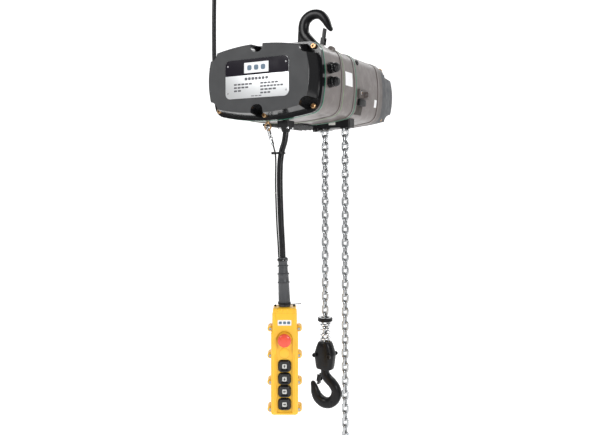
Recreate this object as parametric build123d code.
from build123d import *

import os
from math import acos, atan2, cos, degrees, hypot, pi, radians, sin, sqrt, tan

# Electric chain hoist, one-tonne class, single fall, millimetres.
# Origin: the saddle of the suspension hook. +X runs along the front cover, towards the tail
# chain, +Y from the front cover to the rear cover, +Z up.

# ---- driving dimensions -------------------------------------------------------------------
# body casting, a crowned rectangle carried along Y
BODY_X, BODY_Z = -23.0, -222.5
BODY_W, BODY_H = 360.0, 225.0
CORNER_IN_X, CORNER_IN_Z = 13.0, 19.5
TOP_DROP = 15.0
CORNER_R = 38.0
WALL = 8.0
LIP = 1.5
LIP_LENGTH = 11.0

# stations along Y
Y_FACE = -302.0
Y_FRONT_FLANGE = -255.0
Y_CONTROL = -240.0
Y_GEARBOX = -125.0
Y_MOTOR = -36.0
Y_REAR_FLANGE = 145.0
Y_REAR_COVER = 170.0
Y_REAR_STEP = 207.0
Y_REAR_FACE = 308.0
GASKET = 2.0

# end covers
FACE_W, FACE_H = 325.0, 189.0
REAR_FACE_W, REAR_FACE_H = 324.0, 192.0
COVER_DRAFT = 10.0
COVER_WALL = 5.0
SCREW_X, SCREW_Z = 154.0, 80.0
TOP_SCREW_Z, LOW_SCREW_Z = 84.0, -98.0
NOTCH_R = 22.0
MID_NOTCH_W, MID_NOTCH_H = 39.0, 23.0
COVER_CREST_DROP = 8.0
PLATE_W, PLATE_H, PLATE_R, PLATE_T = 205.0, 107.0, 15.0, 1.5
RIVET_X, RIVET_Z = 94.0, 38.0

# load chain, 7.1 x 21 mm
WIRE = 7.1
PITCH = 21.0
LINK_W = 24.0
LINK_SLACK = 0.3
BENT_SLACK = 2.0
POCKETS = 5
WHEEL_X = 69.2
CHAIN_X = 35.0
TAIL_X = 103.4
JOINT_R = PITCH / 2 / sin(radians(90 / POCKETS))

# gear train, module, teeth
MODULE_1, PINION_1, GEAR_1 = 2.0, 12, 60
MODULE_2, PINION_2, GEAR_2 = 2.5, 12, 56
MOTOR_X = -80.0
STATOR_R, ROTOR_R = 65.0, 37.0

# suspension hook and load hook
HOOK_BAR_R = 14.0
HOOK_INNER_R = 26.0
HOOK_SHOULDER_Z = -121.0
HOOK_WEB_T = 22.0
HOOK_WEB = [(-56, -28), (-57, -78), (-40, -104), (0, -112), (18, -98), (20, -84), (-4, -62),
            (-20, -46), (-30, -28)]
LOAD_BAR_R = 15.0
LOAD_INNER_R = 22.0
LOAD_BOWL_Z = -1156.0

# hook block
BUFFER_TOP = -928.0
BLOCK_TOP, BLOCK_BOTTOM = -1003.0, -1087.0
SPRING_R, SPRING_WIRE, SPRING_TURNS = 15.7, 5.0, 4.5

# pendant
PENDANT_X, PENDANT_Y = 15.0, -213.0
PENDANT_TURN = 29.0
PENDANT_TOP, PENDANT_BOTTOM = -857.6, -1155.0
PENDANT_HALF_DEPTH = 31.0
SHELL = 3.0
BUTTON_Z = (-1018.3, -1053.5, -1088.5, -1124.0)
BUTTON_W, BUTTON_H = 32.0, 31.0
STOP_Z, STOP_R = -943.5, 18.5
PLUG_Z = -983.4
LUG_X = 40.4
LUG_Z = (-917.0, -991.5, -1066.0, -1141.5)

# cords: route of each, from the gland or sleeve to its far end
CABLE_D = 17.0
CABLE_ROUTE = [
    (19.0, -214.0, -366.0), (17.2, -214.7, -391.0), (8.0, -218.2, -418.0),
    (3.6, -220.0, -452.0), (2.6, -220.4, -508.0), (4.2, -219.4, -575.0),
    (6.6, -218.2, -640.0), (9.4, -216.6, -692.0), (10.0, -216.3, -720.0),
]
STAY_D = 4.4
STAY_ROUTE = [
    (-19.4, -220.9, -401.5), (-9.6, -223.7, -422.5), (-6.9, -225.4, -452.0),
    (-7.9, -226.0, -508.0), (-6.3, -225.0, -575.0), (-3.9, -223.8, -640.0),
    (-0.6, -221.9, -690.0), (0.3, -221.6, -719.6),
]
SUPPLY_D = 13.0
SUPPLY_ROUTE = [
    (-240.0, -200.0, -155.0), (-240.9, -200.2, -112.0), (-241.3, -200.1, -62.0),
    (-241.2, -200.3, -10.0), (-240.6, -200.0, 38.0), (-239.8, -200.1, 78.0),
]


# ---- drawing helpers ----------------------------------------------------------------------
def section(y):
    """Plane across the body at station y: local x is X, local y is Z, centred on the casting."""
    return Plane(origin=(BODY_X, y, BODY_Z), x_dir=(1, 0, 0), z_dir=(0, -1, 0))


def crowned(inset=0.0, width=BODY_W, height=BODY_H, radius=CORNER_R, top_drop=None):
    """The body outline: a rectangle with bowed sides and large corners, moved in by inset."""
    if top_drop is None:
        top_drop = TOP_DROP if height == BODY_H else 0.0
    half_w, half_h = width / 2 - inset, height / 2 - inset
    cx, cz = half_w - CORNER_IN_X, half_h - CORNER_IN_Z
    corners = [(-cx, cz), (cx, cz), (cx, -cz), (-cx, -cz)]
    crests = [(0, half_h - top_drop), (half_w, 0), (0, -half_h), (-half_w, 0)]
    sides = [
        ThreePointArc(corners[i], crests[i], corners[(i + 1) % 4]) for i in range(4)
    ]
    face = make_face(sides)
    return fillet(face.vertices(), max(radius - inset, 6.0))


def slab(outline, y_from, y_to):
    """An outline drawn across the body, carried from one station to another."""
    return extrude(section(y_from) * outline, amount=y_from - y_to)


def rod(start, end, radius, end_radius=None):
    """A round bar between two points, or a cone when end_radius is given."""
    a, b = Vector(*start), Vector(*end)
    plane = Plane(origin=a, z_dir=b - a)
    length = (b - a).length
    grow = (Align.CENTER, Align.CENTER, Align.MIN)
    if end_radius is None:
        return plane * Cylinder(radius, length, align=grow)
    return plane * Cone(radius, end_radius, length, align=grow)


def tube(start, end, outer, inner):
    """A round tube between two points."""
    return rod(start, end, outer) - rod(start, end, inner)


def block(x, y, z):
    """A box given by its two limits along each axis."""
    size = [hi - lo for lo, hi in (x, y, z)]
    centre = [(hi + lo) / 2 for lo, hi in (x, y, z)]
    return Pos(*centre) * Box(*size)


def ball(centre, radius):
    return Pos(*centre) * Sphere(radius)


def group(parts):
    """Separate solids as one compound."""
    solids = []
    for part in parts:
        solids.extend(part.solids())
    return Compound(children=solids)


def save(name, shape):
    os.makedirs("parts", exist_ok=True)
    export_step(shape, f"parts/{name}.step")


def hex_bar(start, end, across_flats):
    """A hexagonal bar between two points."""
    a, b = Vector(*start), Vector(*end)
    plane = Plane(origin=a, z_dir=b - a)
    return extrude(plane * RegularPolygon(across_flats / sqrt(3), 6), amount=(b - a).length)


def socket_screw(seat, direction, head_r, head_h, shank_r, length):
    """A socket-head screw: head above its seat, shank below it."""
    seat, out = Vector(*seat), Vector(*direction)
    head = rod(seat, seat + out * head_h, head_r)
    rim = head.edges().sort_by(Axis(seat, out))[-1]
    head = chamfer(rim, head_h * 0.12)
    head -= hex_bar(seat + out * head_h * 0.45, seat + out * (head_h + 1), head_r * 0.95)
    return head + rod(seat - out * length, seat, shank_r)


def cord_tube(name, route, diameter):
    """A free cord: straight runs joined by tangent arcs as large as the runs allow."""
    points = [Vector(*p) for p in route]
    radii, turns = [], []
    for a, b, c in zip(points, points[1:], points[2:]):
        turn = (b - a).get_angle(c - b)
        run = min((b - a).length, (c - b).length)
        radii.append(0.45 * run / tan(radians(turn / 2)))
        turns.append(turn)
    path = FilletPolyline(*points, radius=radii)
    start = Plane(origin=points[0], z_dir=points[1] - points[0])
    cord = sweep(start * Circle(diameter / 2), path=path)
    ideal = pi * diameter**2 / 4 * path.length
    print(name, "length", round(path.length, 1), "radii", [round(r) for r in radii],
          "volume ratio", round(cord.volume / ideal, 4))
    return cord


# ---- chain ----------------------------------------------------------------------------------
def make_link(slack):
    """One link lying in the X-Z plane, long axis along Z, centred on the origin."""
    bend = (LINK_W - WIRE) / 2
    straight = (PITCH + slack) / 2 + WIRE / 2 - bend
    profile = Plane(origin=(bend, 0, 0), z_dir=(0, 0, 1)) * Circle(WIRE / 2)
    half = sweep(profile, path=Wire([
        Line((bend, 0, 0), (bend, 0, straight)).edge(),
        ThreePointArc((bend, 0, straight), (0, 0, straight + bend), (-bend, 0, straight)).edge(),
        Line((-bend, 0, straight), (-bend, 0, 0)).edge(),
    ]))
    return half + Rot(180, 0, 0) * half


LINK = make_link(LINK_SLACK)
BENT_LINK = make_link(BENT_SLACK)


def chain_column(x, first_joint_z, count, first_flat):
    """A hanging run of links: every other one turned a quarter."""
    links = []
    for i in range(count):
        turned = (i % 2 == 0) == first_flat
        z = first_joint_z - PITCH * (i + 0.5)
        links.append(Pos(x, 0, z) * Rot(0, 0, 90 if turned else 0) * LINK)
    return links


def wheel_links():
    """The links that lie round the top half of the load wheel, end joints at both tangents."""
    middle_r = JOINT_R * cos(radians(90 / POCKETS))
    links = []
    for i in range(POCKETS):
        angle = 180 - (i + 0.5) * 180 / POCKETS
        x = WHEEL_X + middle_r * cos(radians(angle))
        z = BODY_Z + middle_r * sin(radians(angle))
        flat = i % 2 == 0
        links.append(Pos(x, 0, z) * Rot(0, -angle, 0) * Rot(0, 0, 90 if flat else 0) * BENT_LINK)
    return links


# ---- gears ------------------------------------------------------------------------------------
def gear(x, z, y_from, y_to, module, teeth, tooth_at, bore=0.0):
    """A spur gear on an axis along Y, with involute flanks and one tooth centred at tooth_at."""
    pressure = radians(20)
    pitch_r = module * teeth / 2
    base_r = pitch_r * cos(pressure)
    tip_r, root_r = pitch_r + module * 0.95, pitch_r - module * 1.25
    thick = pi / (2 * teeth) - 0.035 * module / pitch_r
    involute_at_pitch = tan(pressure) - pressure

    def flank(radius):
        if radius <= base_r:
            return thick + involute_at_pitch
        slope = acos(base_r / radius)
        return thick + involute_at_pitch - (tan(slope) - slope)

    def point(radius, angle):
        return (radius * cos(angle), radius * sin(angle))

    low = max(base_r, root_r)
    radii = [low + (tip_r - low) * i / 4 for i in range(5)]
    edges = []
    step = 2 * pi / teeth
    for i in range(teeth):
        mid = radians(tooth_at) + i * step
        up = [point(r, mid - flank(r)) for r in radii]
        down = [point(r, mid + flank(r)) for r in reversed(radii)]
        root_a, root_b = point(root_r, mid - flank(low)), point(root_r, mid + flank(low))
        if base_r > root_r:
            edges.append(Line(root_a, up[0]))
            edges.append(Line(down[-1], root_b))
        edges.append(Spline(up))
        edges.append(ThreePointArc(up[-1], point(tip_r, mid), down[0]))
        edges.append(Spline(down))
        gap_mid = point(root_r, mid + step / 2)
        next_a = point(root_r, mid + step - flank(low))
        start = root_b if base_r > root_r else down[-1]
        edges.append(ThreePointArc(start, gap_mid, next_a))
    face = make_face(edges)
    plane = Plane(origin=(x, y_from, z), x_dir=(1, 0, 0), z_dir=(0, -1, 0))
    wheel = extrude(plane * face, amount=y_from - y_to)
    if bore:
        wheel -= rod((x, y_from - 1, z), (x, y_to + 1, z), bore)
    return wheel


CENTRES_1 = MODULE_1 * (PINION_1 + GEAR_1) / 2
CENTRES_2 = MODULE_2 * (PINION_2 + GEAR_2) / 2
SPAN = WHEEL_X - MOTOR_X
MID_DX = (SPAN**2 + CENTRES_1**2 - CENTRES_2**2) / (2 * SPAN)
MID_X = MOTOR_X + MID_DX
MID_Z = BODY_Z + sqrt(CENTRES_1**2 - MID_DX**2)
MESH_1 = degrees(atan2(MID_Z - BODY_Z, MID_X - MOTOR_X))
MESH_2 = degrees(atan2(BODY_Z - MID_Z, WHEEL_X - MID_X))


# ---- housings -----------------------------------------------------------------------------------
SCREW_SPOTS = [(sx * SCREW_X, sz * SCREW_Z) for sx in (-1, 1) for sz in (-1, 1)]
SCREW_SPOTS += [(0, TOP_SCREW_Z), (0, LOW_SCREW_Z)]
BODY_TOP = BODY_Z + BODY_H / 2 - TOP_DROP


def spots(points, radius):
    """Round spots drawn across the body at the given places."""
    shape = Sketch()
    for x, z in points:
        shape += Pos(x, z) * Circle(radius)
    return shape


def casting(y_from, y_to):
    """A length of the body with a raised lip at each end."""
    body = slab(crowned(LIP), y_from, y_to)
    body += slab(crowned(), y_from, y_from + LIP_LENGTH)
    body += slab(crowned(), y_to - LIP_LENGTH, y_to)
    return body


def end_cover(y_joint, y_step, y_face, face_w, face_h, flange_inset):
    """A drafted cover: flange against the casting, raised block with screw notches."""
    out = 1 if y_face > y_joint else -1
    flange = slab(crowned(flange_inset), y_joint, y_step)
    wide, high = face_w + 2 * COVER_DRAFT, face_h + 2 * COVER_DRAFT
    top = section(y_face) * crowned(0, face_w, face_h, 26)
    base = section(y_step) * crowned(0, wide, high, 32, COVER_CREST_DROP)
    raised = loft([base, top], ruled=True)
    rim = raised.edges().filter_by_position(Axis.Y, y_face - 0.1, y_face + 0.1)
    raised = fillet(rim, 4)
    notches = spots([s for s in SCREW_SPOTS[:4]], NOTCH_R)
    middle = Rectangle(MID_NOTCH_W, 2 * MID_NOTCH_H + 60)
    middle = fillet(middle.vertices(), 16)
    for sign in (-1, 1):
        notches += Pos(0, sign * (face_h / 2 + 30)) * middle
    raised -= slab(notches, y_step, y_face + out)
    cavity_top = section(y_face - out * COVER_WALL) * crowned(
        0, face_w - 2 * COVER_WALL, face_h - 2 * COVER_WALL, 22)
    cavity_base = section(y_joint) * crowned(
        0, wide - 2 * COVER_WALL, high - 2 * COVER_WALL, 26, COVER_CREST_DROP)
    cavity = loft([cavity_base, cavity_top], ruled=True)
    walls = spots(SCREW_SPOTS[:4], NOTCH_R + COVER_WALL)
    thick_middle = Rectangle(MID_NOTCH_W + 2 * COVER_WALL, 2 * (MID_NOTCH_H + COVER_WALL) + 60)
    thick_middle = fillet(thick_middle.vertices(), 20)
    for sign in (-1, 1):
        walls += Pos(0, sign * (face_h / 2 + 30)) * thick_middle
    cavity -= slab(walls, y_joint, y_face)
    cover = flange + raised - cavity
    return cover - slab(spots(SCREW_SPOTS, 4.5), y_joint, y_step + out)


def make_front_cover():
    cover = end_cover(Y_CONTROL - GASKET, Y_FRONT_FLANGE, Y_FACE, FACE_W, FACE_H, 0.0)
    recess = fillet(Rectangle(PLATE_W + 1, PLATE_H + 1).vertices(), PLATE_R)
    return cover - slab(recess, Y_FACE, Y_FACE + 1.2)


def make_cover_screws(y_seat, out, length):
    screws = []
    for x, z in SCREW_SPOTS:
        seat = (BODY_X + x, y_seat, BODY_Z + z)
        screws.append(socket_screw(seat, (0, out, 0), 7.0, 8.5, 3.9, length))
    return group(screws)


def make_nameplate():
    plate = fillet(Rectangle(PLATE_W, PLATE_H).vertices(), PLATE_R)
    holes = spots([(sx * RIVET_X, sz * RIVET_Z) for sx in (-1, 1) for sz in (-1, 1)], 1.6)
    return slab(plate - holes, Y_FACE + 1.2 - PLATE_T, Y_FACE + 1.2)


def make_rivets():
    rivets = []
    y = Y_FACE + 1.2 - PLATE_T
    for sx in (-1, 1):
        for sz in (-1, 1):
            x, z = BODY_X + sx * RIVET_X, BODY_Z + sz * RIVET_Z
            dome = ball((x, y + 1.5, z), 3.2) & block((x - 4, x + 4), (y - 4, y), (z - 4, z + 4))
            rivets.append(dome + rod((x, y, z), (x, y + PLATE_T, z), 1.5))
    return group(rivets)


def gasket(y_from, y_to):
    ring = crowned(-0.6) - crowned(WALL)
    ring += spots(SCREW_SPOTS, 9.5) & crowned(0.4)
    return slab(ring - spots(SCREW_SPOTS, 4.5), y_from, y_to)


def make_control_housing():
    body = casting(Y_CONTROL, Y_GEARBOX)
    body -= slab(crowned(WALL), Y_CONTROL, Y_GEARBOX - WALL)
    bosses = spots(SCREW_SPOTS, 9.5) & crowned(LIP)
    body += slab(bosses, Y_CONTROL, Y_CONTROL + 26)
    body -= slab(spots(SCREW_SPOTS, 4.0), Y_CONTROL, Y_CONTROL + 24)
    for x, z, radius in ((MID_X, MID_Z, 16.0), (WHEEL_X, BODY_Z, 20.0), (MOTOR_X, BODY_Z, 14.0)):
        body += tube((x, Y_GEARBOX - WALL - 6, z), (x, Y_GEARBOX, z), radius + 5, radius)
        body -= rod((x, Y_GEARBOX - 6, z), (x, Y_GEARBOX, z), radius)
    body -= rod((EYE_X, EYE_Y, BODY_Z - 120), (EYE_X, EYE_Y, BODY_Z - 90), 4.0)
    body -= rod((GLAND_X, GLAND_Y, BODY_Z - 120), (GLAND_X, GLAND_Y, BODY_Z - 90), 9.0)
    right = BODY_X + BODY_W / 2
    for z in SIDE_GLAND_Z:
        body -= rod((right - 20, SIDE_GLAND_Y, z), (right + 5, SIDE_GLAND_Y, z), 8.0)
    left = BODY_X - BODY_W / 2
    body -= rod((left - 5, ELBOW_Y, ELBOW_Z), (left + 20, ELBOW_Y, ELBOW_Z), 8.0)
    return body


def make_gearbox_housing():
    body = casting(Y_GEARBOX + GASKET, Y_MOTOR - GASKET)
    body -= slab(crowned(WALL), Y_GEARBOX + GASKET, Y_MOTOR - GASKET - WALL)
    y_wall = Y_MOTOR - GASKET - WALL
    bearings = ((MID_X, MID_Z, 16.0), (WHEEL_X, BODY_Z, 20.0), (MOTOR_X, BODY_Z, 20.0))
    for x, z, radius in bearings:
        if x != MID_X:
            body += tube((x, y_wall - 4, z), (x, Y_MOTOR - GASKET, z), radius + 5, radius)
            body -= rod((x, y_wall - 5, z), (x, Y_MOTOR + 1, z), radius)
        else:
            body += tube((x, y_wall - 8, z), (x, y_wall, z), radius + 5, radius)
    return body


def make_motor_housing():
    body = casting(Y_MOTOR, Y_REAR_FLANGE)
    body -= slab(crowned(WALL), Y_MOTOR, Y_REAR_FLANGE)
    top = BODY_TOP
    bottom = BODY_Z - BODY_H / 2
    ring = tube((MOTOR_X, 0, BODY_Z), (MOTOR_X, 100, BODY_Z), STATOR_R + 6, STATOR_R + 0.1)
    ribs = block((MOTOR_X - 6, MOTOR_X + 6), (0, 100), (BODY_Z + STATOR_R + 3, top - 6))
    ribs += block((MOTOR_X - 6, MOTOR_X + 6), (0, 100), (bottom + 6, BODY_Z - STATOR_R - 3))
    left = BODY_X - BODY_W / 2
    ribs += block((left + 6, MOTOR_X - STATOR_R - 3), (0, 100), (BODY_Z - 6, BODY_Z + 6))
    body += ring + ribs
    right = BODY_X + BODY_W / 2
    web = block((-8, right - 4), (26, 36), (bottom + 6, top - 6)) & slab(crowned(4), 26, 36)
    body += web + tube((WHEEL_X, 22, BODY_Z), (WHEEL_X, 36, BODY_Z), 25, 20)
    body -= rod((WHEEL_X, 21, BODY_Z), (WHEEL_X, 37, BODY_Z), 20)
    body += block((-19, 19), (-32, 26), (YOKE_TOP, top - 4))
    body -= rod((0, 0, YOKE_TOP - 5), (0, 0, top + 5), 12.06)
    for x, y in YOKE_SCREWS:
        body -= rod((x, y, YOKE_TOP - 1), (x, y, YOKE_TOP + 9), 4.0)
    body -= block(GUIDE_SPAN_X, GUIDE_SPAN_Y, (bottom - 5, bottom + 32))
    for y, z in BRACKET_HOLES:
        body -= rod((right - 16, y, z), (right + 3, y, z), 3.0)
    return body


def make_rear_flange():
    body = slab(crowned() - crowned(WALL), Y_REAR_FLANGE, Y_REAR_COVER)
    web = slab(crowned(WALL - 1), Y_REAR_FLANGE + 4, Y_REAR_FLANGE + 12)
    body += web + tube((MOTOR_X, Y_REAR_FLANGE + 4, BODY_Z),
                       (MOTOR_X, Y_REAR_COVER, BODY_Z), 26, 20)
    body -= rod((MOTOR_X, Y_REAR_FLANGE, BODY_Z), (MOTOR_X, Y_REAR_COVER, BODY_Z), 20)
    body += slab(spots(SCREW_SPOTS, 9.5) & crowned(), Y_REAR_FLANGE + 4, Y_REAR_COVER)
    return body - slab(spots(SCREW_SPOTS, 4.0), Y_REAR_FLANGE + 6, Y_REAR_COVER + 1)


# ---- suspension ---------------------------------------------------------------------------------
YOKE_TOP = -137.0
YOKE_BOTTOM = -161.0
YOKE_SCREWS = [(sx * 10.0, sy) for sx in (-1, 1) for sy in (-24.0, 20.0)]


def make_hook_yoke():
    yoke = block((-18, 18), (-31, 25.7), (YOKE_BOTTOM, YOKE_TOP))
    yoke = fillet(yoke.edges().filter_by(Axis.Z), 4)
    yoke -= rod((0, 0, YOKE_BOTTOM - 1), (0, 0, YOKE_TOP + 1), 12.06)
    for x, y in YOKE_SCREWS:
        yoke -= rod((x, y, YOKE_BOTTOM - 1), (x, y, YOKE_TOP + 1), 4.4)
    return yoke


def make_yoke_screws():
    screws = []
    for x, y in YOKE_SCREWS:
        head = rod((x, y, YOKE_BOTTOM - 5), (x, y, YOKE_BOTTOM), 5.2)
        screws.append(head + rod((x, y, YOKE_BOTTOM), (x, y, YOKE_TOP + 8), 3.9))
    return group(screws)


def bent_bar(bowl, ring_r, bar_r, start_angle, end_angle):
    """The round part of a hook: a bar bent about the bowl's centre in the X-Z plane."""
    def at(angle):
        a = radians(angle)
        return (bowl[0] + ring_r * cos(a), bowl[1], bowl[2] + ring_r * sin(a))
    middle = (start_angle + end_angle) / 2
    path = ThreePointArc(at(start_angle), at(middle), at(end_angle))
    across = (path % 0)
    bar = sweep(Plane(origin=path @ 0, z_dir=across) * Circle(bar_r), path=path)
    return bar, at(start_angle), at(end_angle)


def make_top_hook():
    """Hook that hangs the hoist: bowl above, tip to the right, shank down into the yoke."""
    ring_r = HOOK_INNER_R + HOOK_BAR_R
    bowl = (0, 0, -HOOK_INNER_R)
    bar, limb_top, nose = bent_bar(bowl, ring_r, HOOK_BAR_R, 222, 18)
    neck = (1, 0, -87)
    hook = bar + ball(limb_top, HOOK_BAR_R) + rod(limb_top, neck, HOOK_BAR_R, 13)
    hook += ball(neck, 14.5) + rod(neck, (0, 0, HOOK_SHOULDER_Z), 14.5, 17)
    web = make_face(Plane.XZ * Polyline(*HOOK_WEB, close=True))
    hook += extrude(web, amount=HOOK_WEB_T / 2, both=True)
    tip = (47.0, 0, -31.0)
    hook += ball(nose, HOOK_BAR_R) + rod(nose, tip, HOOK_BAR_R, 9.5) + ball(tip, 9.5)
    hook += rod((0, 0, HOOK_SHOULDER_Z), (0, 0, YOKE_BOTTOM - 17), 12)
    lug = block((8, TOP_PIVOT[0] + 6), (-6, 6), (TOP_PIVOT[2] - 6, TOP_PIVOT[2] + 6))
    hook += lug
    hook -= rod((TOP_PIVOT[0], -7, TOP_PIVOT[2]), (TOP_PIVOT[0], 7, TOP_PIVOT[2]), 2.55)
    nut = hex_bar((0, 0, YOKE_BOTTOM - 15), (0, 0, YOKE_BOTTOM - 0.4), 28)
    nut -= rod((0, 0, YOKE_BOTTOM - 16), (0, 0, YOKE_BOTTOM), 12)
    return group([hook, nut])


TOP_PIVOT = (28.0, 0.0, -78.0)
LOAD_PIVOT = (17.0, 0.0, -1112.0)


def make_latch(pivot, tip, width):
    """A pressed U-shaped safety latch with its pin, from the pivot to the tip."""
    a, b = Vector(*pivot), Vector(*tip)
    along = (b - a).normalized()
    length = (b - a).length
    plane = Plane(origin=a, x_dir=(0, 1, 0), z_dir=along)
    grow = (Align.CENTER, Align.CENTER, Align.MIN)
    sides = []
    for sign in (-1, 1):
        cheek = plane * Pos(sign * (width / 2 - 1), 0, -6) * Box(2, 12, 22, align=grow)
        sides.append(cheek)
    tongue = plane * Pos(0, 0, 9) * Box(width, 5, length - 9, align=grow)
    latch = sides[0] + sides[1] + tongue
    hole = rod(a + Vector(0, -width, 0), a + Vector(0, width, 0), 2.5)
    pin = rod(a + Vector(0, -width / 2 - 1.5, 0), a + Vector(0, width / 2 + 1.5, 0), 2.45)
    return group([latch - hole, pin])


# ---- chain entry, limit lever, bracket ------------------------------------------------------------
GUIDE_SPAN_X = (14.0, 126.0)
GUIDE_SPAN_Y = (-21.0, 21.0)
GUIDE_TOP, GUIDE_BOTTOM = -318.0, -344.0
LEVER_Z = -350.0
LEVER_X = 8.0


def make_chain_guide():
    clear = 0.3
    x = (GUIDE_SPAN_X[0] + clear, GUIDE_SPAN_X[1] - clear)
    y = (GUIDE_SPAN_Y[0] + clear, GUIDE_SPAN_Y[1] - clear)
    guide = block(x, y, (GUIDE_BOTTOM, GUIDE_TOP))
    guide = fillet(guide.edges().filter_by(Axis.Z), 5)
    for cx in (CHAIN_X, TAIL_X):
        guide += rod((cx, 0, GUIDE_BOTTOM - 2), (cx, 0, GUIDE_BOTTOM), 16)
        guide -= rod((cx, 0, GUIDE_BOTTOM - 3), (cx, 0, GUIDE_TOP + 1), 13.2)
    ears = []
    for sign in (-1, 1):
        ear = block((2, 16), (sign * 17 - 2, sign * 17 + 2), (LEVER_Z - 4, GUIDE_BOTTOM + 7.5))
        ears.append(ear)
    guide += ears[0] + ears[1]
    guide -= rod((LEVER_X, -20, LEVER_Z), (LEVER_X, 20, LEVER_Z), 2.55)
    return guide


def make_limit_lever():
    plate = block((LEVER_X - 3, 55), (-14.2, 14.2), (LEVER_Z - 2, LEVER_Z + 1.5))
    plate += rod((LEVER_X, -14.2, LEVER_Z), (LEVER_X, 14.2, LEVER_Z), 4.5)
    plate = plate - rod((CHAIN_X, 0, LEVER_Z - 9), (CHAIN_X, 0, LEVER_Z + 9), 13.0)
    plate -= rod((LEVER_X, -15, LEVER_Z), (LEVER_X, 15, LEVER_Z), 2.5)
    pin = rod((LEVER_X, -19.5, LEVER_Z), (LEVER_X, 19.5, LEVER_Z), 2.5)
    return group([plate, pin])


BRACKET_HOLES = [(-12.0, -243.0), (38.0, -243.0)]
BRACKET_T = 6.0


def make_bracket():
    """Chain-bag bracket: a bolted plate with a bored lug that stands out of the side."""
    right = BODY_X + BODY_W / 2
    plate = block((right + 0.2, right + BRACKET_T), (-25, 51), (-258, -230))
    plate = fillet(plate.edges().filter_by(Axis.X), 7)
    lug = block((right + 2, right + 20), (6, 20), (-256, -238))
    lug = fillet(lug.edges().filter_by(Axis.Y), 4)
    bracket = plate + lug
    bracket -= rod((right + 13, 0, -247), (right + 13, 30, -247), 3.2)
    for y, z in BRACKET_HOLES:
        bracket -= rod((right - 1, y, z), (right + BRACKET_T + 1, y, z), 5.5)
    return bracket


SIDE_GLAND_Y = -215.0
SIDE_GLAND_Z = (-197.0, -235.0)


def make_side_glands():
    """Two blanked cable glands on the right side of the control housing."""
    right = BODY_X + BODY_W / 2
    glands = []
    for z in SIDE_GLAND_Z:
        x = right - 1.2
        body = hex_bar((x, SIDE_GLAND_Y, z), (x + 9, SIDE_GLAND_Y, z), 27)
        body += rod((x + 9, SIDE_GLAND_Y, z), (x + 12, SIDE_GLAND_Y, z), 11)
        dome = rod((x + 12, SIDE_GLAND_Y, z), (x + 30, SIDE_GLAND_Y, z), 12.5)
        tip = dome.edges().sort_by(Axis.X)[-1]
        body += fillet(tip, 6)
        body += rod((x - 10, SIDE_GLAND_Y, z), (x, SIDE_GLAND_Y, z), 7.9)
        glands.append(body)
    return group(glands)


ELBOW_Y, ELBOW_Z, ELBOW_X = -200.0, -198.0, -240.0


def make_power_elbow():
    """Right-angle gland for the supply cord: out of the left side, then straight up."""
    left = BODY_X - BODY_W / 2
    elbow = rod((left + 10, ELBOW_Y, ELBOW_Z), (left + 1.2, ELBOW_Y, ELBOW_Z), 7.9)
    elbow += hex_bar((left + 1.2, ELBOW_Y, ELBOW_Z), (left - 9, ELBOW_Y, ELBOW_Z), 30)
    elbow += rod((left - 9, ELBOW_Y, ELBOW_Z), (ELBOW_X, ELBOW_Y, ELBOW_Z), 13)
    elbow += ball((ELBOW_X, ELBOW_Y, ELBOW_Z), 13)
    elbow += rod((ELBOW_X, ELBOW_Y, ELBOW_Z), (ELBOW_X, ELBOW_Y, -176), 13)
    elbow += hex_bar((ELBOW_X, ELBOW_Y, -176), (ELBOW_X, ELBOW_Y, -165), 28)
    elbow += rod((ELBOW_X, ELBOW_Y, -165), (ELBOW_X, ELBOW_Y, SUPPLY_ROUTE[0][2]), 12, 8.5)
    return elbow


def make_ceiling_fitting():
    """Strain-relief clamp that the supply cord ends in, with its hanging eye."""
    x, y, z = SUPPLY_ROUTE[-1]
    cap = rod((x, y, z), (x, y, z + 14), 9, 12) + rod((x, y, z + 14), (x, y, z + 30), 13)
    eye = Pos(x, y, z + 38) * Rot(90, 0, 0) * Torus(8, 2.5)
    return cap + eye


# ---- pendant cable, stay wire -----------------------------------------------------------------------
GLAND_X, GLAND_Y = 19.0, -214.0
EYE_X, EYE_Y, EYE_Z = -40.0, -215.0, -349.0


def make_cable_gland():
    """Clamp block of the pendant cable under the control housing."""
    gland = block((GLAND_X - 19, GLAND_X + 19), (GLAND_Y - 19, GLAND_Y + 19), (-354, -335.4))
    gland = fillet(gland.edges().filter_by(Axis.Z), 5)
    gland += rod((GLAND_X, GLAND_Y, -354), (GLAND_X, GLAND_Y, -366), 14.4, 11)
    return gland + rod((GLAND_X, GLAND_Y, -335.4), (GLAND_X, GLAND_Y, -322), 8.9)


def make_small_screws():
    """Four gland screws and two bracket screws, all the same size."""
    screws = []
    for sx in (-1, 1):
        for sy in (-1, 1):
            x, y = GLAND_X + sx * 13.5, GLAND_Y + sy * 13.5
            head = rod((x, y, -354), (x, y, -358.5), 4.2)
            screws.append(head - hex_bar((x, y, -359), (x, y, -356.5), 4))
    return group(screws)


def make_bracket_screws():
    right = BODY_X + BODY_W / 2
    screws = []
    for y, z in BRACKET_HOLES:
        seat = (right + BRACKET_T - 4, y, z)
        screws.append(socket_screw(seat, (1, 0, 0), 5.2, 5.5, 2.9, 16))
    return screws


def make_eye_bolt():
    eye = Pos(EYE_X, EYE_Y, EYE_Z) * Rot(90, 0, 0) * Torus(9.9, 2.4)
    collar = rod((EYE_X, EYE_Y, -341), (EYE_X, EYE_Y, -335), 6)
    return eye + collar + rod((EYE_X, EYE_Y, -335), (EYE_X, EYE_Y, -316), 3.9)


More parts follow.
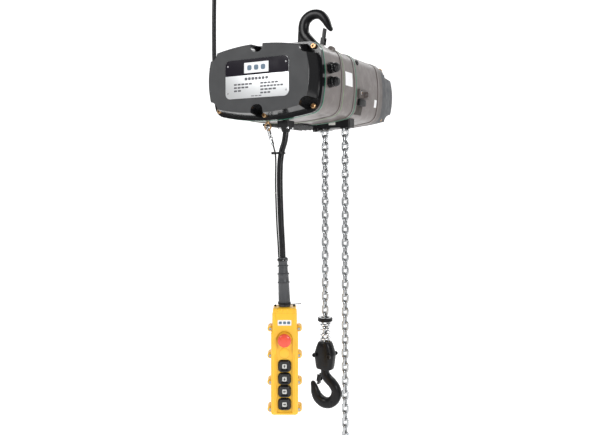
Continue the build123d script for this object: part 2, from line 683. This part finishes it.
def make_snap_hook():
    """Spring hook from the eye bolt down to the stay wire's thimble and crimped sleeve."""
    ring_bottom = Vector(EYE_X, EYE_Y, -356.9)
    end = Vector(*STAY_ROUTE[0])
    along = (end - ring_bottom).normalized()
    side = along.cross(Vector(0, 1, 0)).normalized()
    across = side.cross(along).normalized()
    half_w, wire = 5.5, 2.0
    top = ring_bottom + along * (-half_w + 4.3)
    low = ring_bottom + along * 21
    path = Wire([
        Line(top + across * half_w, low + across * half_w).edge(),
        ThreePointArc(low + across * half_w, low + along * half_w, low - across * half_w).edge(),
        Line(low - across * half_w, top - across * half_w).edge(),
        ThreePointArc(top - across * half_w, top - along * half_w, top + across * half_w).edge(),
    ])
    profile = Plane(origin=top + across * half_w, z_dir=along) * Circle(wire)
    hook = sweep(profile, path=path)
    gate = rod(top + across * (half_w + 2) + along * 3, top + across * (half_w + 2) + along * 15, 3)
    thimble_centre = low + along * (half_w - wire - 1.6 + 5.6)
    thimble = Plane(origin=thimble_centre, x_dir=along, z_dir=across) * Torus(5.6, 1.3)
    sleeve = rod(thimble_centre + along * 5.2, end, 4.4)
    return group([hook + gate, thimble + sleeve])


def make_cable_ties():
    """Two straps round cable and stay wire, one near the top and one on the boot."""
    x, y, z = CABLE_ROUTE[2]
    strap = tube((x - 6.0, y - 1.9, z - 10), (x - 6.0, y - 1.9, z - 5), 16.8, 15.6)
    head = block((x - 29.5, x - 22.4), (y - 8, y - 1), (z - 11, z - 4))
    upper = strap + head
    low_z = -848
    boot_x, boot_y = 14.0, -213.6
    ring = tube((boot_x, boot_y, low_z - 2.5), (boot_x, boot_y, low_z + 2.5), 18.4, 17.4)
    tail_root = (boot_x + 17, boot_y - 13, low_z - 0.5)
    tail = rod(tail_root, (boot_x + 62, boot_y - 14, low_z + 6), 1.1)
    lock = block((boot_x + 13, boot_x + 19), (boot_y - 18, boot_y - 12), (low_z - 3, low_z + 3))
    return group([upper, ring + lock + tail])


BOOT_TOP = CABLE_ROUTE[-1]
BOOT_BOTTOM = (PENDANT_X - 0.5, PENDANT_Y - 0.3, PENDANT_TOP + 0.8)


def make_cable_boot():
    """Stepped rubber boot between cable and pendant, as a turned profile on a leaning axis."""
    steps = [(0.0, 13.6), (0.08, 13.6), (0.09, 12.6), (0.155, 12.8), (0.165, 15.6),
             (0.185, 15.6), (0.195, 12.9), (0.315, 13.8), (0.325, 17.0), (0.345, 17.0),
             (0.355, 14.6), (0.49, 15.2), (0.50, 17.2), (0.52, 17.2), (0.53, 15.4), (1.0, 17.0)]
    top, bottom = Vector(*BOOT_TOP), Vector(*BOOT_BOTTOM)
    length = (bottom - top).length
    outline = [(0, 0)] + [(r, t * length) for t, r in steps] + [(0, length)]
    profile = make_face(Plane.XZ * Polyline(*outline, close=True))
    boot = revolve(profile, axis=Axis.Z)
    return Plane(origin=top, z_dir=bottom - top) * boot


def make_boot_clamp():
    top, bottom = Vector(*BOOT_TOP), Vector(*BOOT_BOTTOM)
    along = (bottom - top).normalized()
    band = tube(top + along * 3, top + along * 9, 14.6, 13.7)
    lug = rod(top + along * 6 + Vector(-6, -17, 0), top + along * 6 + Vector(6, -17, 0), 2.6)
    return band + lug


# ---- pendant -----------------------------------------------------------------------------------------
def pendant_plane(z):
    """Plane across the pendant's face: local x is its width, local y is up, z points out."""
    turn = radians(PENDANT_TURN)
    return Plane(origin=(PENDANT_X, PENDANT_Y, z), x_dir=(cos(turn), sin(turn), 0),
                 z_dir=(sin(turn), -cos(turn), 0))


def pendant_outline(inset=0.0):
    """Collar, shoulder and body of the pendant, drawn about its top edge."""
    top, bottom = 0.0, PENDANT_BOTTOM - PENDANT_TOP
    rows = [(33.0, top, -28.0), (34.5, -20.0, -75.0), (38.0, -62.0, bottom)]
    shape = Sketch()
    for half, high, low in rows:
        box = Rectangle(2 * (half - inset), high - low - 2 * inset)
        box = fillet(box.vertices(), 7)
        shape += Pos(0, (high + low) / 2) * box
    return shape


def lug_marks(radius):
    marks = Sketch()
    for z in LUG_Z:
        for sign in (-1, 1):
            marks += Pos(sign * LUG_X, z - PENDANT_TOP) * Circle(radius)
    return marks


def pendant_half(sign, depth):
    """One moulded half: shell wall, screw lugs, open towards the split plane."""
    plane = pendant_plane(PENDANT_TOP)
    shell = extrude(plane * pendant_outline(), amount=sign * depth)
    shell += extrude(plane * lug_marks(8.0), amount=sign * depth * 0.62)
    cavity = extrude(plane * pendant_outline(SHELL), amount=sign * (depth - SHELL))
    shell -= cavity
    shell -= extrude(plane.offset(sign * depth * 0.62) * lug_marks(4.0), amount=sign * depth)
    return shell - extrude(plane * lug_marks(2.1), amount=sign * depth)


def button_outline(gap=0.0):
    shape = Rectangle(BUTTON_W + 2 * gap, BUTTON_H + 2 * gap)
    return fillet(shape.vertices(), 5 + gap)


def make_pendant_front():
    half = pendant_half(1, PENDANT_HALF_DEPTH)
    for z in BUTTON_Z:
        half -= extrude(pendant_plane(z) * button_outline(0.5), amount=60)
    frame = Rectangle(48, BUTTON_Z[0] - BUTTON_Z[-1] + 40)
    frame = fillet(frame.vertices(), 5)
    opening = Rectangle(44, BUTTON_Z[0] - BUTTON_Z[-1] + 36)
    opening = fillet(opening.vertices(), 4)
    middle = (BUTTON_Z[0] + BUTTON_Z[-1]) / 2
    groove = pendant_plane(middle).offset(PENDANT_HALF_DEPTH - 1.0) * (frame - opening)
    half -= extrude(groove, amount=3)
    half -= extrude(pendant_plane(STOP_Z) * Circle(8.0), amount=60)
    recess = pendant_plane(STOP_Z).offset(PENDANT_HALF_DEPTH - 1.5)
    half -= extrude(recess * Circle(STOP_R + 3.5), amount=3)
    plug = pendant_plane(PLUG_Z).offset(PENDANT_HALF_DEPTH)
    half += extrude(plug * RegularPolygon(13.5, 8, rotation=22.5), amount=1.6)
    return half


def make_pendant_screws():
    screws = []
    for z in LUG_Z:
        for sign in (-1, 1):
            plane = pendant_plane(z)
            centre = plane.from_local_coords((sign * LUG_X, 0, PENDANT_HALF_DEPTH * 0.62))
            out = plane.z_dir
            head = rod(centre, centre + out * 3.5, 3.7)
            slot = hex_bar(centre + out * 1.5, centre + out * 5, 4)
            screws.append(head - slot + rod(centre - out * 34, centre, 2.0))
    return group(screws)


def make_button(z):
    """A push button: cap through the front shell, guide skirt and stem behind it."""
    plane = pendant_plane(z)
    cap = extrude(plane.offset(PENDANT_HALF_DEPTH - 11) * button_outline(), amount=15)
    rim = cap.edges().filter_by(lambda e: plane.to_local_coords(e).center().Z > 3.9 + PENDANT_HALF_DEPTH)
    cap = fillet(rim, 1.6)
    return cap + extrude(plane.offset(6) * Circle(4), amount=PENDANT_HALF_DEPTH - 17)


def make_stop_plunger():
    plane = pendant_plane(STOP_Z)
    stem = extrude(plane.offset(5) * Circle(7.6), amount=PENDANT_HALF_DEPTH - 1)
    return stem


def make_stop_button():
    """Mushroom head of the emergency stop."""
    plane = pendant_plane(STOP_Z).offset(PENDANT_HALF_DEPTH + 4.3)
    skirt = extrude(plane * Circle(12.0), amount=6)
    head = extrude(plane.offset(6) * Circle(STOP_R), amount=11)
    rims = head.edges().filter_by(GeomType.CIRCLE)
    return skirt + fillet(rims, 3.5)


# ---- drive ---------------------------------------------------------------------------------------------
def make_load_wheel():
    """Pocketed load wheel: two flanges, a groove for the upright links, lugs between pockets."""
    wheel = rod((WHEEL_X, -13, BODY_Z), (WHEEL_X, 13, BODY_Z), 28.3)
    for y in (-17, 12.7):
        wheel += rod((WHEEL_X, y, BODY_Z), (WHEEL_X, y + 4.3, BODY_Z), 40)
    wheel -= tube((WHEEL_X, -4.6, BODY_Z), (WHEEL_X, 4.6, BODY_Z), 41, 19.4)
    for i in range(POCKETS):
        angle = radians(90 - 180 / POCKETS + i * 360 / POCKETS)
        for side in (-1, 1):
            inner, outer = (27.0, 32.0)
            y = side * 9.6
            start = (WHEEL_X + inner * cos(angle), y, BODY_Z + inner * sin(angle))
            end = (WHEEL_X + outer * cos(angle), y, BODY_Z + outer * sin(angle))
            wheel += rod(start, end, 1.9, 1.1)
    wheel -= rod((WHEEL_X, -18, BODY_Z), (WHEEL_X, 18, BODY_Z), 13)
    return wheel


def make_load_gear():
    """Load shaft with its driven gear."""
    shaft = rod((WHEEL_X, Y_GEARBOX - 5, BODY_Z), (WHEEL_X, 35, BODY_Z), 12.97)
    tooth_at = MESH_2 + 180 + 180 / GEAR_2
    return shaft + gear(WHEEL_X, BODY_Z, -92, -72, MODULE_2, GEAR_2, tooth_at)


def make_intermediate_gear():
    shaft = rod((MID_X, Y_GEARBOX - 5, MID_Z), (MID_X, -48, MID_Z), 9)
    wheel = gear(MID_X, MID_Z, -115, -101, MODULE_1, GEAR_1, MESH_1 + 180 + 180 / GEAR_1)
    return shaft + wheel + gear(MID_X, MID_Z, -95, -69, MODULE_2, PINION_2, MESH_2)


def make_motor_rotor():
    """Rotor pack on its shaft, pinion at the front, brake disc and fan at the rear."""
    shaft = rod((MOTOR_X, -100, BODY_Z), (MOTOR_X, 276, BODY_Z), 9)
    shaft += rod((MOTOR_X, Y_GEARBOX - 5, BODY_Z), (MOTOR_X, -100, BODY_Z), 7)
    pack = rod((MOTOR_X, 8, BODY_Z), (MOTOR_X, 92, BODY_Z), ROTOR_R)
    pinion = gear(MOTOR_X, BODY_Z, -117, -100, MODULE_1, PINION_1, MESH_1)
    rotor = shaft + pack + pinion
    disc = tube((MOTOR_X, 178, BODY_Z), (MOTOR_X, 186, BODY_Z), 52, 9)
    hub = tube((MOTOR_X, 250, BODY_Z), (MOTOR_X, 272, BODY_Z), 16, 9)
    for i in range(8):
        blade = Pos(MOTOR_X, 261, BODY_Z) * Rot(0, i * 45, 0) * Pos(36, 0, 0) * Box(44, 18, 3)
        hub += blade
    return group([rotor, disc, hub])


def make_motor_stator():
    core = tube((MOTOR_X, 8, BODY_Z), (MOTOR_X, 92, BODY_Z), STATOR_R, ROTOR_R + 1)
    windings = []
    for y0, y1 in ((-4, 7.9), (92.1, 104)):
        windings.append(tube((MOTOR_X, y0, BODY_Z), (MOTOR_X, y1, BODY_Z), 60, 42))
    return group([core] + windings)


def bearing(x, z, y_from, y_to, outer, inner):
    """A shielded ball bearing as one ring with the gap between its races."""
    ring = tube((x, y_from, z), (x, y_to, z), outer - 0.02, inner + 0.05)
    middle = (outer + inner) / 2
    groove = tube((x, y_from, z), (x, y_from + 1, z), middle + 1.5, middle - 1.5)
    return ring - groove


def make_bearings():
    rings = [
        bearing(MID_X, MID_Z, Y_GEARBOX - 6, Y_GEARBOX, 16, 9),
        bearing(MID_X, MID_Z, -54, -46.1, 16, 9),
        bearing(WHEEL_X, BODY_Z, Y_GEARBOX - 6, Y_GEARBOX, 20, 13),
        bearing(WHEEL_X, BODY_Z, -50, -40, 20, 13),
        bearing(WHEEL_X, BODY_Z, 24, 35, 20, 13),
        bearing(MOTOR_X, BODY_Z, Y_GEARBOX - 6, Y_GEARBOX, 14, 7),
        bearing(MOTOR_X, BODY_Z, -50, -40, 20, 9),
        bearing(MOTOR_X, BODY_Z, 150, 162, 20, 9),
    ]
    return group(rings)


def make_brake_coil():
    coil = tube((MOTOR_X, 189, BODY_Z), (MOTOR_X, 222, BODY_Z), 55, 14)
    feet = []
    for i in range(3):
        a = radians(90 + 120 * i)
        x, z = MOTOR_X + 60 * cos(a), BODY_Z + 60 * sin(a)
        feet.append(rod((x, Y_REAR_FLANGE + 12, z), (x, 200, z), 4))
    return group([coil] + feet)


def make_contactor():
    """Control gear: mounting plate, two contactors and a terminal block."""
    plate = block((-150, 60), (-143, -140), (-290, -160))
    parts = [plate]
    for x in (-130, -60):
        body = block((x, x + 46), (-194, -143), (-270, -190))
        body -= block((x + 6, x + 40), (-195, -188), (-262, -252))
        parts.append(fillet(body.edges().filter_by(Axis.Y), 2))
    parts.append(block((10, 50), (-169, -143), (-280, -180)))
    return group(parts)


# ---- hook block -------------------------------------------------------------------------------------------
def make_block_shells():
    """Two forged halves that clasp the last link and the hook's shank."""
    z = [BLOCK_TOP, -1015, -1041, -1070, BLOCK_BOTTOM]
    r = [20.0, 25.0, 33.0, 30.5, 27.0]
    outline = [(0, z[0])] + [(r[i], z[i]) for i in range(5)] + [(0, z[4])]
    profile = make_face(Plane.XZ * Polyline(*outline, close=True))
    body = Pos(CHAIN_X, 0, 0) * revolve(profile, axis=Axis.Z)
    body = body & block((CHAIN_X - 40, CHAIN_X + 40), (-23, 23), (BLOCK_BOTTOM, BLOCK_TOP))
    body -= block((CHAIN_X - 12.4, CHAIN_X + 12.4), (-12.4, 12.4), (-1036, BLOCK_TOP + 1))
    body -= rod((CHAIN_X - 18.3, 0, CHAIN_PIN_Z), (CHAIN_X + 18.3, 0, CHAIN_PIN_Z), 4.3)
    body -= rod((CHAIN_X, 0, -1075), (CHAIN_X, 0, -1056), 19.3)
    body -= rod((CHAIN_X, 0, BLOCK_BOTTOM - 1), (CHAIN_X, 0, -1070), 12.56)
    halves = []
    for sign in (-1, 1):
        y = (0.05, 30) if sign > 0 else (-30, -0.05)
        half = body & block((CHAIN_X - 50, CHAIN_X + 50), y, (BLOCK_BOTTOM - 5, BLOCK_TOP + 5))
        for x, zb in BLOCK_BOLTS:
            half -= rod((x, -30, zb), (x, 30, zb), 4.1)
        halves.append(half)
    return group(halves)


CHAIN_PIN_Z = -1016.3
BLOCK_BOLTS = [(CHAIN_X + sx * 24, -1042) for sx in (-1, 1)]


def make_block_bolts():
    bolts = []
    for x, z in BLOCK_BOLTS:
        bolt = rod((x, -23, z), (x, 23, z), 4.0)
        bolt += rod((x, -29, z), (x, -23, z), 6.5)
        bolt -= hex_bar((x, -30, z), (x, -26, z), 6)
        bolt += hex_bar((x, 23, z), (x, 28, z), 12)
        bolts.append(bolt)
    bolts.append(rod((CHAIN_X - 18, 0, CHAIN_PIN_Z), (CHAIN_X + 18, 0, CHAIN_PIN_Z), 4.2))
    return group(bolts)


def make_load_hook():
    """Load hook: shank and collar inside the block, bowl below with its tip to the left."""
    ring_r = LOAD_INNER_R + LOAD_BAR_R
    bowl = (CHAIN_X + 3, 0, LOAD_BOWL_Z)
    bar, limb, nose = bent_bar(bowl, ring_r, LOAD_BAR_R, 62, -178)
    neck = (CHAIN_X, 0, -1108)
    hook = bar + ball(limb, LOAD_BAR_R) + rod(limb, neck, LOAD_BAR_R, 13)
    hook += ball(neck, 13) + rod(neck, (CHAIN_X, 0, -1066), 12.5)
    hook += rod((CHAIN_X, 0, -1067), (CHAIN_X, 0, -1057), 19)
    tip = (CHAIN_X - 45, 0, -1131)
    hook += ball(nose, LOAD_BAR_R) + rod(nose, tip, LOAD_BAR_R, 7) + ball(tip, 7)
    x, _, z = LOAD_PIVOT
    hook += block((x - 5, CHAIN_X), (-6, 6), (z - 6, z + 6))
    return hook - rod((x, -7, z), (x, 7, z), 2.55)


def make_buffer_plate():
    plate = tube((CHAIN_X, 0, BUFFER_TOP - 12), (CHAIN_X, 0, BUFFER_TOP), 23, 12.6)
    edges = plate.edges().filter_by(GeomType.CIRCLE).sort_by(SortBy.RADIUS)[-2:]
    return fillet(edges, 2)


def make_buffer_spring():
    """Open coil spring between the buffer plate and the block."""
    low, high = BLOCK_TOP + 0.1 + SPRING_WIRE / 2, BUFFER_TOP - 12.1 - SPRING_WIRE / 2
    helix = Helix((high - low) / SPRING_TURNS, high - low, SPRING_R,
                  center=(CHAIN_X, 0, low))
    start = Plane(origin=helix @ 0, z_dir=helix % 0)
    return sweep(start * Circle(SPRING_WIRE / 2), path=helix, is_frenet=True)


# ---- build ----
TAIL_LINKS = 55
LOAD_LINKS = 38
save("front_cover", make_front_cover())
save("front_cover_screws", make_cover_screws(Y_FRONT_FLANGE, -1, 36))
save("nameplate", make_nameplate())
save("nameplate_rivets", make_rivets())
save("front_gasket", gasket(Y_CONTROL - GASKET, Y_CONTROL))
save("control_housing", make_control_housing())
save("middle_gasket", gasket(Y_GEARBOX, Y_GEARBOX + GASKET))
save("gearbox_housing", make_gearbox_housing())
save("rear_gasket", gasket(Y_MOTOR - GASKET, Y_MOTOR))
save("motor_housing", make_motor_housing())
save("rear_flange", make_rear_flange())
save("rear_cover", end_cover(Y_REAR_COVER, Y_REAR_STEP, Y_REAR_FACE, REAR_FACE_W, REAR_FACE_H, 4.0))
save("rear_cover_screws", make_cover_screws(Y_REAR_STEP, 1, 55))
save("side_glands", make_side_glands())
save("chain_guide", make_chain_guide())
save("limit_lever", make_limit_lever())
save("chain_bag_bracket", make_bracket())
save("hook_yoke", make_hook_yoke())
save("yoke_screws", make_yoke_screws())
save("top_hook", make_top_hook())
save("top_latch", make_latch(TOP_PIVOT, (34.0, 0, -34.0), 17))
save("power_elbow", make_power_elbow())
save("power_cord", cord_tube("power_cord", SUPPLY_ROUTE, SUPPLY_D))
save("ceiling_fitting", make_ceiling_fitting())
save("cable_gland", make_cable_gland())
save("small_screws", group([make_small_screws()] + make_bracket_screws()))
save("eye_bolt", make_eye_bolt())
save("snap_hook", make_snap_hook())
save("stay_wire", cord_tube("stay_wire", STAY_ROUTE, STAY_D))
save("pendant_cable", cord_tube("pendant_cable", CABLE_ROUTE, CABLE_D))
save("cable_ties", make_cable_ties())
save("cable_boot", make_cable_boot())
save("boot_clamp", make_boot_clamp())
save("pendant_front", make_pendant_front())
save("pendant_back", pendant_half(-1, PENDANT_HALF_DEPTH))
save("pendant_screws", make_pendant_screws())
for name, height in zip(("button_up", "button_down", "button_left", "button_right"), BUTTON_Z):
    save(name, make_button(height))
save("stop_plunger", make_stop_plunger())
save("stop_button", make_stop_button())
save("load_wheel", make_load_wheel())
save("load_gear", make_load_gear())
save("intermediate_gear", make_intermediate_gear())
save("motor_rotor", make_motor_rotor())
save("motor_stator", make_motor_stator())
save("shaft_bearings", make_bearings())
save("brake_coil", make_brake_coil())
save("control_gear", make_contactor())
save("load_chain", group(chain_column(CHAIN_X, BODY_Z, LOAD_LINKS, False)))
save("wheel_chain", group(wheel_links()))
save("tail_chain", group(chain_column(TAIL_X, BODY_Z, TAIL_LINKS, False)))
tail_end = BODY_Z - PITCH * TAIL_LINKS
save("tail_stop", tube((TAIL_X, 0, tail_end - 4), (TAIL_X, 0, tail_end + 22), 17, 12.4)
     + rod((TAIL_X, -16, tail_end + 10.5), (TAIL_X, 16, tail_end + 10.5), 3.2))
save("block_shells", make_block_shells())
save("block_bolts", make_block_bolts())
save("load_hook", make_load_hook())
save("load_latch", make_latch(LOAD_PIVOT, (13.0, 0, -1137.0), 17))
save("buffer_plate", make_buffer_plate())
save("buffer_spring", make_buffer_spring())
